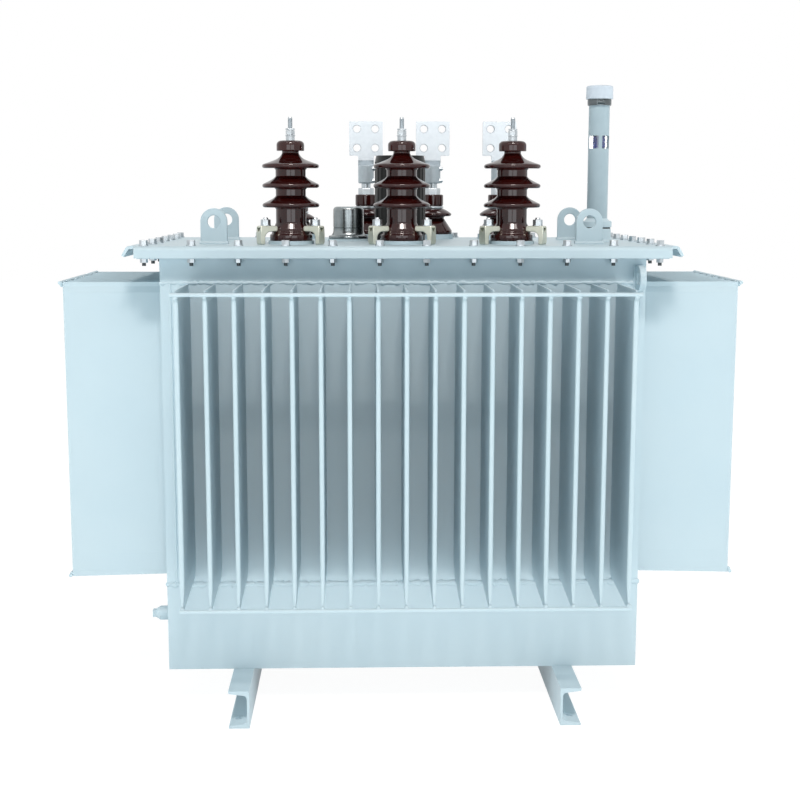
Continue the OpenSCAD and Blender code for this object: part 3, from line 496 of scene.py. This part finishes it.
def lvOutline():
    s = lvShape
    points = [(0, 0), (s["base"] - 1, 0), (s["base"], 1), (s["base"], s["rim"])]
    points += [(s["waist"] + 1, s["cone"] - 2), (s["waist"] + 1, s["cone"])]
    points.append((s["waist"] + 4, s["shedLevel"] - s["tip"]))
    points += shedOutline(s["shedLevel"], s["shed"], s["tip"], s["shedTop"] - s["shedLevel"], s["seal"],
                          s["even"], s["power"])
    points += [(s["seal"] - 3, s["shedTop"]), (s["seal"] - 3, s["capFoot"])]
    points += [(s["cap"] - 2, s["capFoot"]), (s["cap"], s["capFoot"] + 3)]
    return points + headRound(s["cap"], s["capTop"], s["capRound"], 90, 5) + [(0, s["capTop"])]


for number in "123":
    bm = bmesh.new()
    lathe(bm, hvOutline(), footOf("hv_porcelain_" + number), 72)
    finishPiece("highVoltagePorcelain" + number, bm, "brown_porcelain", ["hv_porcelain_" + number], 45)
lvSizes = {}
for letter in "nabc":
    node = "lv_porcelain_" + letter
    low, high = corners(node)
    scale = (high.z - low.z) * 1000 / lvShape["capTop"]  # the neutral one is smaller
    lvSizes[letter] = scale
    bm = bmesh.new()
    lathe(bm, [(r * scale, z * scale) for r, z in lvOutline()], footOf(node), 64)
    finishPiece("lowVoltagePorcelain" + letter.upper(), bm, "brown_porcelain", [node], 45)
    seal = bmesh.new()
    lathe(seal, [(r * scale, z * scale) for r, z in lvShape["sealRing"]], footOf(node), 48)
    finishPiece("lowVoltageSeal" + letter.upper(), seal, "zinc_steel")
print("porcelain turned")


# Terminals

hvTerminal = {
    "sleeve": 18.6, "sleeveHeight": 9.8, "collar": 21.0, "collarHeight": 2.2, "gap": 0.9,
    "nut": 17.0, "nutHeight": 8.4, "nutTurn": 17, "thinNut": 17.0, "thinNutHeight": 3.2, "thinNutTurn": 41,
    "stud": 10.0, "thread": 1.5,
}
lvTerminal = {
    "nut": 32.0, "nutHeight": 15.0, "rod": 22.0, "rodHeight": 11.0,
    "clamp": 37.0, "clampHeight": 43.0, "clampEdge": 2.0,
    "boltLevels": (0.14, 0.80), "boltInset": 8.0, "boltBefore": 6.0,  # two clamp bolts across the split
    "bolt": 10.0, "boltLength": 11.5, "boltTip": 6.0, "boltTipLength": 2.0,
    "neckHeight": 22.0, "flag": 79.0, "flagHeight": 79.5, "flagThick": 12.0, "corner": 1.5, "neckRound": 3.0,
    "hole": 17.5, "holeAcross": 42.8, "holeUp": 44.3, "holeShadeRing": 1.0, "holeShadeRaise": 0.6,
    "recess": 10.5, "recessLap": 6.0, "recessDepth": 0.7,
}
neutral = {  # scaled with its bushing, apart from the gaps, washer height and thread
    "nut": 32.0, "nutHeight": 15.0, "base": 16.0, "washerGap": 11.0, "washer": 32.0, "washerHeight": 2.5,
    "upperGap": 14.0, "upperNut": 30.0, "upperHeight": 11.0, "upperTurn": 20, "stud": 21.5, "thread": 2.5,
}


def threadedStud(bm, foot, diameter, height, pitch):
    # ridges stand for the thread, in shares of its pitch
    crest, root = diameter / 2, diameter / 2 - pitch * 0.45
    points = [(0, 0), (root, 0)]
    for i in range(int(height / pitch) - 1):
        points += [(crest, pitch * (i + 0.35)), (crest, pitch * (i + 0.55)), (root, pitch * (i + 0.95))]
    lathe(bm, points + [(root - 0.6, height), (0, height)], foot, 20)


for number in "123":
    low, high = corners("hv_terminal_" + number)
    foot = footOf("hv_terminal_" + number)
    s = hvTerminal
    bm = bmesh.new()
    level = 0.0
    rod(bm, foot, s["sleeve"], s["sleeveHeight"], 32, 0.6)
    level += s["sleeveHeight"]
    rod(bm, foot + mm(0, 0, level), s["collar"], s["collarHeight"], 32, 0.5)
    core = s["collarHeight"] + 2 * s["gap"] + s["nutHeight"]  # shows in the gaps beside the nut
    rod(bm, foot + mm(0, 0, level), s["stud"] + 2, core, 24)
    level += s["collarHeight"] + s["gap"]
    hexBar(bm, foot + mm(0, 0, level), s["nut"], s["nutHeight"], 1.0, turnZ(s["nutTurn"]))
    level += s["nutHeight"] + s["gap"]
    hexBar(bm, foot + mm(0, 0, level), s["thinNut"], s["thinNutHeight"], 0.6, turnZ(s["thinNutTurn"]))
    level += s["thinNutHeight"]
    threadedStud(bm, foot + mm(0, 0, level), s["stud"], (high.z - low.z) * 1000 - level, s["thread"])
    finishPiece("highVoltageTerminal" + number, bm, "zinc_steel", ["hv_terminal_" + number])


def flagOutline():  # plate over a narrower neck, foot at the neck's lower end
    s = lvTerminal
    half, neck, c, r = s["flag"] / 2, s["clamp"] / 2, s["corner"], s["neckRound"]
    low, top = s["neckHeight"], s["neckHeight"] + s["flagHeight"]
    right = [(neck, s["recess"])] + [(neck + r + x, low + z) for x, z in arc(0, -r, r, 180, 90, 3)]
    right += arc(half - c, low + c, c, -90, 0, 3) + arc(half - c, top - c, c, 0, 90, 3)
    return right + [(-x, z) for x, z in reversed(right)]


for letter in "abc":
    foot = footOf("lv_terminal_" + letter)
    s = lvTerminal
    lower = s["nutHeight"] + s["rodHeight"]
    half, tall = s["clamp"] / 2, s["clampHeight"]
    hardware, body, bm = bmesh.new(), bmesh.new(), bmesh.new()
    hexBar(hardware, foot, s["nut"], s["nutHeight"], 1.5, turnZ(30))
    rod(hardware, foot + mm(0, 0, s["nutHeight"]), s["rod"], s["rodHeight"], 32)
    across = Matrix.Rotation(pi / 2, 4, "Y")
    for level in s["boltLevels"]:
        spot = foot + mm(half - s["boltInset"], -s["boltBefore"], lower + tall * level)
        hexBar(hardware, spot, s["bolt"], s["boltLength"], 0.8, across)
        rod(hardware, spot + mm(s["boltLength"], 0, 0), s["boltTip"], s["boltTipLength"], 16, 0.4, across)
    finishPiece("lowVoltageNuts" + letter.upper(), hardware, "zinc_steel")
    bodySide = [(0, 0), (half - s["clampEdge"], 0), (half, s["clampEdge"]), (half, tall - 3)]
    lathe(body, bodySide + [(half - 2, tall - 1), (0, tall)], foot + mm(0, 0, lower), 48)
    seat = foot + mm(0, 0, lower + tall)
    middle = s["neckHeight"] + s["flagHeight"] / 2
    holes = [(x * s["holeAcross"] / 2, middle + z * s["holeUp"] / 2, s["hole"] / 2)
             for x in (-1, 1) for z in (-1, 1)]
    for x, z, r in holes:  # darker alloy ring round each hole, a painted shade of the hole's inner edge, 30 points round
        ring = arc(x, z, r + s["holeShadeRing"], 0, 348, 29)
        plate(body, ring, [(x, z, r)], s["flagThick"] + s["holeShadeRaise"], Matrix.Translation(seat), 0.1)
    # clamp body together with the painted shade rings round the flag holes
    finishPiece("lowVoltageClamp" + letter.upper(), body, "tinned_metal", look=clampAlloyAndHoleShade)
    size = Matrix.Diagonal((*mm(s["clamp"], s["flagThick"], s["recess"] + s["recessLap"]), 1))
    centre = seat + mm(0, 0, s["recess"] / 2 - s["recessLap"] / 2)
    wedge = bmesh.ops.create_cube(bm, size=1, matrix=Matrix.Translation(centre) @ size)["verts"]
    low = [v for v in wedge if v.co.z < seat.z and v.co.y < seat.y]
    cut = mm(0, s["flagThick"] * s["recessDepth"], 0)
    bmesh.ops.translate(bm, verts=low, vec=cut)  # milled back towards the clamp
    plate(bm, flagOutline(), holes, s["flagThick"], Matrix.Translation(seat), 0.5)
    finishPiece("lowVoltageTerminal" + letter.upper(), bm, "tinned_metal", ["lv_terminal_" + letter])

low, high = corners("lv_terminal_n")
foot = footOf("lv_terminal_n")
s, scale = neutral, lvSizes["n"]
base, nutTop = s["base"] * scale, s["nutHeight"] * scale
bm = bmesh.new()
hexBar(bm, foot, s["nut"] * scale, nutTop, 1.2)
hexBar(bm, foot + mm(0, 0, base + s["upperGap"]), s["upperNut"] * scale, s["upperHeight"] * scale, 1.2,
       turnZ(s["upperTurn"]))
rod(bm, foot + mm(0, 0, base + s["washerGap"]), s["washer"] * scale, s["washerHeight"], 32, 0.5)
threadedStud(bm, foot + mm(0, 0, nutTop), s["stud"] * scale, (high.z - low.z) * 1000 - nutTop, s["thread"])
finishPiece("neutralTerminal", bm, "tinned_metal", ["lv_terminal_n"])
print("terminals fitted")


# Clamps of the high voltage bushings

clamp = {
    "end": 76.5, "tip": 36.5, "width": 22.0, "arm": 26.5, "thick": 12.5, "leg": 12.5, "count": 3,
    "endRound": 4.0, "tipRound": 4.5, "tipDrop": 0.25, "crook": 13.0, "edge": 2.2,
    "pocketInset": 5.0, "pocketDepth": 10.0,  # wedge-shaped pocket in the outer end
    "pocketHead": 8.0, "pocketHeadDrop": 3.5, "pocketFoot": 1.5, "pocketFootDrop": 13.0,
    "stud": 60.0, "nut": 18.0, "nutHeight": 11.0, "washer": 22.0, "washerHeight": 2.0,
    "studSize": 12.0, "studTip": 4.0, "thread": 1.75,
}


def outerEnd(bm):  # largest face that looks along +X
    return max((f for f in bm.faces if f.normal.x > 0.99), key=lambda f: f.calc_area())


def castClamp(bm):  # one clamp on the +X side of its bushing, on z = 0
    s = clamp
    top, inner, r = s["arm"] + s["thick"], s["end"] - s["leg"], s["tipRound"]
    outline = [(s["end"] - 1, 0), (s["end"], 3)] + headRound(s["end"], top, s["endRound"], 90, 8)
    outline += arc(s["tip"] + r, top - r - s["tipDrop"], r, 90, 180, 8)
    outline += arc(s["tip"] + r, s["arm"] + r, r, 180, 270, 8)
    outline += arc(inner + 2 - s["crook"], s["arm"] - s["crook"], s["crook"], 85, 5, 8) + [(inner + 2, 0)]
    dots = [bm.verts.new(mm(x, -s["width"] / 2, z)) for x, z in outline]
    side = bm.faces.new(dots)
    back = vertsOf(bmesh.ops.extrude_face_region(bm, geom=[side])["geom"])
    bmesh.ops.translate(bm, verts=back, vec=mm(0, s["width"], 0))
    bmesh.ops.recalc_face_normals(bm, faces=bm.faces[:])
    softenEdges(bm, set(outerEnd(bm).edges), s["edge"], 3)
    end = outerEnd(bm)
    bmesh.ops.inset_individual(bm, faces=[end], thickness=mm(s["pocketInset"]))
    for v in end.verts:
        place = "pocketHead" if v.co.z > mm(top / 2) else "pocketFoot"
        goal = mm(s["end"], s[place] * (1 if v.co.y > 0 else -1), top - s[place + "Drop"])
        bmesh.ops.translate(bm, verts=[v], vec=goal - v.co)
    pocket = vertsOf(bmesh.ops.extrude_face_region(bm, geom=[end])["geom"])
    bmesh.ops.translate(bm, verts=pocket, vec=mm(-s["pocketDepth"], 0, 0))
    bmesh.ops.delete(bm, geom=[end], context="FACES_ONLY")


for number in "123":
    axis = footOf("hv_porcelain_" + number)
    axis.z = corners("hv_clamps_" + number)[0].z
    castings, bolts = bmesh.new(), bmesh.new()
    s = clamp
    castClamp(castings)
    spot = mm(s["stud"], 0, s["arm"] + s["thick"])
    tipFoot = spot + mm(0, 0, s["washerHeight"] + s["nutHeight"])
    rod(bolts, spot, s["washer"], s["washerHeight"], 24, 0.5)
    hexBar(bolts, spot + mm(0, 0, s["washerHeight"]), s["nut"], s["nutHeight"], 1.0)
    threadedStud(bolts, tipFoot, s["studSize"], s["studTip"], s["thread"])
    for bm in (castings, bolts):
        source = bm.verts[:] + bm.edges[:] + bm.faces[:]
        for i in range(s["count"]):
            way = Matrix.Translation(axis) @ Matrix.Rotation(pi / 2 + 2 * pi * i / s["count"], 4, "Z")
            twin = vertsOf(bmesh.ops.duplicate(bm, geom=source)["geom"])
            bmesh.ops.transform(bm, matrix=way, verts=twin)
        bmesh.ops.delete(bm, geom=vertsOf(source), context="VERTS")
    finishPiece("bushingClamps" + number, castings, "passivated_casting", ["hv_clamps_" + number], 14)
    finishPiece("bushingClampBolts" + number, bolts, "zinc_steel")
print("clamps set")


# Lifting lugs

lug = {
    "eye": 13.5, "edge": 1.2, "bead": 5.0, "beadRipple": 0.14, "beadPast": 2.0, "beadStep": 4.5,
    "hookEye": 12.0, "hookThick": 13.0, "hookBead": 3.6, "hookRipple": 0.16,
}

for where in ("front_left", "front_right", "rear_left", "rear_right"):
    low, high = corners("lid_lug_" + where)
    half, thick = (high.x - low.x) * 500, (high.y - low.y) * 1000
    foot = footOf("lid_lug_" + where)
    level = (high.z - low.z) * 1000 - half
    outline = [(-half, 0), (half, 0)] + arc(0, level, half, 0, 180, 24)
    bm = bmesh.new()
    plate(bm, outline, [(0, level, lug["eye"])], thick, Matrix.Translation(foot), lug["edge"])
    run = mm(half + lug["beadPast"], 0, 0)
    for y in (-1, 1):
        edge = foot + mm(0, y * thick / 2, 1)
        weldBead(bm, [edge - run, edge + run], lug["bead"], lug["beadStep"], lug["beadRipple"])
    name = "lidLug" + "".join(w.capitalize() for w in where.split("_"))
    finishPiece(name, bm, "tank_paint", ["lid_lug_" + where])

low, high = corners("tank_lugs")
thick = lug["hookThick"]
reach, half = (tankLow.y - low.y) * 1000, (high.z - low.z) * 500
outline = [(0, half), (0, -half)] + arc(reach - half, 0, half, -90, 90, 24)
seat = Matrix.Translation((high.x - mm(thick) / 2, tankLow.y, (low.z + high.z) / 2))
bm = bmesh.new()
for turn in (0, 180):
    place = turnZ(turn) @ seat
    plate(bm, outline, [(reach - half, 0, lug["hookEye"])], thick, place @ turnZ(-90), lug["edge"])
    for x in (-1, 1):
        line = [place @ mm(x * thick / 2, 0, -half), place @ mm(x * thick / 2, 0, half)]
        weldBead(bm, line, lug["hookBead"], lug["beadStep"], lug["hookRipple"])
finishPiece("tankLugPair", bm, "tank_paint", ["tank_lugs"])
print("lugs welded")


# Fittings on the lid

reliefShape = {
    "flange": 45.0, "flangeHeight": 7.0, "flangeRound": 2.0, "foot": 1.5,
    "body": 34.5, "flare": 20.0, "flareSteps": 8, "groove": 25.0, "grooveHalf": 0.8, "grooveDepth": 0.9,
    "height": 72.5, "round": 8.0,
}
gaugeShape = {
    "lower": 31.5, "lowerHeight": 29.0, "gap": 3.0, "upper": 33.0, "upperHeight": 14.0, "upperEdge": 1.5,
    "tube": 23.4, "bead": 5.0, "beadStep": 4.5, "beadRipple": 0.12, "beadRuns": 24, "gasketInset": 1.5,
    "cap": 30.0, "capHeight": 29.0, "capRound": 3.5, "capTaper": 0.4, "float": 29.0,
    "bandInner": 20.0, "bandHeight": 14.0, "bandLip": 2.0, "bandRise": 0.6, "screw": 9.0, "screwLength": 16.0,
}

s = reliefShape
shoulder = s["flange"] - s["flangeRound"]
outline = [(0, 0), (s["flange"] - 1, 0)] + footRound(s["flange"], 0, s["foot"])
outline += headRound(s["flange"], s["flangeHeight"], s["flangeRound"], 80)
for i in range(1, s["flareSteps"] + 1):
    t = radians(90 * i / s["flareSteps"])
    outline.append((shoulder - (shoulder - s["body"]) * sin(t),
                    s["flangeHeight"] + (s["flare"] - s["flangeHeight"]) * (1 - cos(t))))
outline += [(s["body"], s["groove"] - s["grooveHalf"]), (s["body"] - s["grooveDepth"], s["groove"])]
outline.append((s["body"], s["groove"] + s["grooveHalf"]))
outline += headRound(s["body"], s["height"], s["round"], 90, 8) + [(0, s["height"])]
bm = bmesh.new()
lathe(bm, outline, footOf("relief_valve"), 72)
finishPiece("reliefValveCap", bm, "stainless_steel", ["relief_valve"], 35)

s = gaugeShape
foot = footOf("gauge_socket")
upper = s["lowerHeight"] + s["gap"]
top = upper + s["upperHeight"]
bm = bmesh.new()
outline = [(0, 0), (s["lower"], 0), (s["lower"], s["lowerHeight"] - 1)]
lathe(bm, outline + [(s["lower"] - 1, s["lowerHeight"]), (0, s["lowerHeight"])], foot, 64)
outline = [(s["tube"] - 2, upper), (s["upper"] - 1, upper), (s["upper"], upper + 1)]
outline += [(s["upper"], top - s["upperEdge"]), (s["upper"] - s["upperEdge"], top)]
# fillet round the tube
outline += [(s["tube"] + 5, top), (s["tube"] + 2, top + 3), (s["tube"] - 0.2, top + 6)]
lathe(bm, outline, foot, 64)
turns = [2 * pi * i / s["beadRuns"] for i in range(s["beadRuns"] + 1)]
ring = [foot + Vector((mm(s["lower"]) * cos(t), mm(s["lower"]) * sin(t), 0)) for t in turns]
weldBead(bm, ring, s["bead"], s["beadStep"], s["beadRipple"])
finishPiece("gaugeSocketRings", bm, "tank_paint", ["gauge_socket"])
bm = bmesh.new()
side = s["lower"] - s["gasketInset"]
lathe(bm, [(0, s["lowerHeight"]), (side, s["lowerHeight"]), (side, upper), (0, upper)], foot, 64)
finishPiece("gaugeSocketGasket", bm, "gasket_rubber")

bm = bmesh.new()
headEdge = s["cap"] - s["capTaper"]
outline = [(0, 0), (s["cap"] - 0.5, 0), (s["cap"], 0.8), (headEdge, s["capHeight"] - 4)]
outline += headRound(headEdge, s["capHeight"], s["capRound"], 90, 5) + [(0, s["capHeight"])]
lathe(bm, outline, footOf("gauge_cap"), 64)
finishPiece("gaugeCapMoulding", bm, "gauge_tube_paint", ["gauge_cap"], look=capMoulding)

low, high = corners("gauge_band")
foot = footOf("gauge_band")
r, tall, lip, rise = (high.x - low.x) * 500, s["bandHeight"], s["bandLip"], s["bandRise"]
bm = bmesh.new()
outline = [(s["bandInner"], 0), (r - rise, 0), (r - rise, lip), (r, lip + rise), (r, tall - lip - rise)]
lathe(bm, outline + [(r - rise, tall - lip), (r - rise, tall), (s["bandInner"], tall)], foot, 64)
rod(bm, foot + mm(-s["screwLength"] / 2, -r + 1, tall / 2), s["screw"], s["screwLength"], 20, 0.8,
    Matrix.Rotation(pi / 2, 4, "Y"))
finishPiece("gaugeHoseBand", bm, "zinc_steel", ["gauge_band"], look=hoseBand)

low, high = corners("gauge_float")
bm = bmesh.new()
rod(bm, footOf("gauge_float"), s["float"], (high.z - low.z) * 1000, 32, 2.0)
finishPiece("gaugeFloatRod", bm, "float_blue", ["gauge_float"])
print("fittings placed")


# Weld beads on the tank

beads = {
    "footSeam": 6.2, "headSeam": 4.2, "headLift": 2.5, "sunk": 2.2,
    "step": 6.0, "seamRipple": 0.30, "seamWander": 1.0,
    "corner": 2.24, "cornerInset": 21.0, "cornerRipple": 0.2, "cornerWander": 0.5,
    "finPitch": 55.7, "rodTack": 4.6, "tackSpread": 0.15, "tackBack": 5.5, "rodRadius": 3.8, "tackLift": 4.0,
}
walls = {  # turn about Z, number of fins, half width and reach of the tank on that side
    "front": (0, 17, tankHigh.x, tankHigh.y),
    "rear": (pi, 17, tankHigh.x, tankHigh.y),
    "left": (-pi / 2, 8, tankHigh.y, tankHigh.x),
    "right": (pi / 2, 8, tankHigh.y, tankHigh.x),
}
foot, head = tankHigh.z, finTop + mm(beads["headLift"])
for name, (turn, count, halfWide, reach) in walls.items():
    s = beads
    spin = Matrix.Rotation(turn, 4, "Z")
    depth = reach - mm(s["sunk"])
    bm = bmesh.new()
    for level, radius in ((foot, s["footSeam"]), (head, s["headSeam"])):
        seam = [spin @ Vector((-halfWide, -depth, level)), spin @ Vector((halfWide, -depth, level))]
        weldBead(bm, seam, radius, s["step"], s["seamRipple"], s["seamWander"])
    for side in (-1, 1):
        x = side * (halfWide - mm(s["cornerInset"]))
        line = [spin @ Vector((x, -reach, foot)), spin @ Vector((x, -reach, head))]
        weldBead(bm, line, s["corner"], s["step"], s["cornerRipple"], s["cornerWander"])
    finishPiece(name + "WallBeads", bm, "tank_paint")

    low, high = corners(name + "_fin_rods")
    nose = {"front": -low.y, "rear": high.y, "left": -low.x, "right": high.x}[name]
    flatten = Matrix.Diagonal((1.1, 0.8, 1.1, 1))
    bm = bmesh.new()
    for i in range(count):
        across = (i - (count - 1) / 2) * mm(s["finPitch"])
        for level, lift in ((low.z + mm(s["rodRadius"]), 1), (high.z - mm(s["rodRadius"]), -1)):
            spot = Vector((across, -nose + mm(s["tackBack"]), level + lift * mm(s["tackLift"])))
            radius = mm(s["rodTack"]) * dice.uniform(1 - s["tackSpread"], 1 + s["tackSpread"])
            bmesh.ops.create_icosphere(bm, subdivisions=2, radius=radius,
                                       matrix=spin @ Matrix.Translation(spot) @ flatten)
    finishPiece(name + "RodTacks", bm, "tank_paint")
print("beads laid")


# Bolts of the lid

lidBolts = {
    "head": 15.0, "headHeight": 9.5, "washer": 20.0, "washerHeight": 2.4, "shank": 8.0, "tip": 6.5,
    "nut": 14.0, "nutHeight": 8.0, "shift": 3.9, "edgeX": 17.5, "edgeY": 11.0,
    "frontCount": 12, "sideCount": 7,
}


def lidBolt(bm, tips, place):  # head and washer over the lid, nut and tip under the flange
    s = lidBolts
    turn = turnZ(dice.uniform(0, 60))
    over, under = Vector((place.x, place.y, lidTop)), Vector((place.x, place.y, flangeLow.z))
    rod(bm, over, s["washer"], s["washerHeight"], 20)
    hexBar(bm, over + mm(0, 0, s["washerHeight"]), s["head"], s["headHeight"], 1.0, turn)
    hexBar(bm, under - mm(0, 0, s["nutHeight"]), s["nut"], s["nutHeight"], 0, turn)
    rod(tips, under - mm(0, 0, s["nutHeight"] + s["tip"]), s["shank"], s["tip"], 14)


endX, endY = flangeHigh.x - mm(lidBolts["edgeX"]), flangeHigh.y - mm(lidBolts["edgeY"])
pitchX = (2 * endX + mm(lidBolts["shift"])) / (lidBolts["frontCount"] - 1)
alongX = [endX - pitchX * i for i in range(lidBolts["frontCount"])]
alongY = [endY * (2 * i / (lidBolts["sideCount"] - 1) - 1) for i in range(1, lidBolts["sideCount"] - 1)]
boltRows = {
    "frontLidBolts": [Vector((x, -endY, 0)) for x in alongX],
    "rearLidBolts": [Vector((x, endY, 0)) for x in alongX],
    "leftLidBolts": [Vector((-endX, y, 0)) for y in alongY],
    "rightLidBolts": [Vector((endX, y, 0)) for y in alongY],
}
for name, places in boltRows.items():
    bm, tips = bmesh.new(), bmesh.new()
    for place in places:
        lidBolt(bm, tips, place)
    finishPiece(name, bm, "zinc_steel")
    finishPiece(name + "Tips", tips, "zinc_steel", look=boltThread)
print("lid bolted")
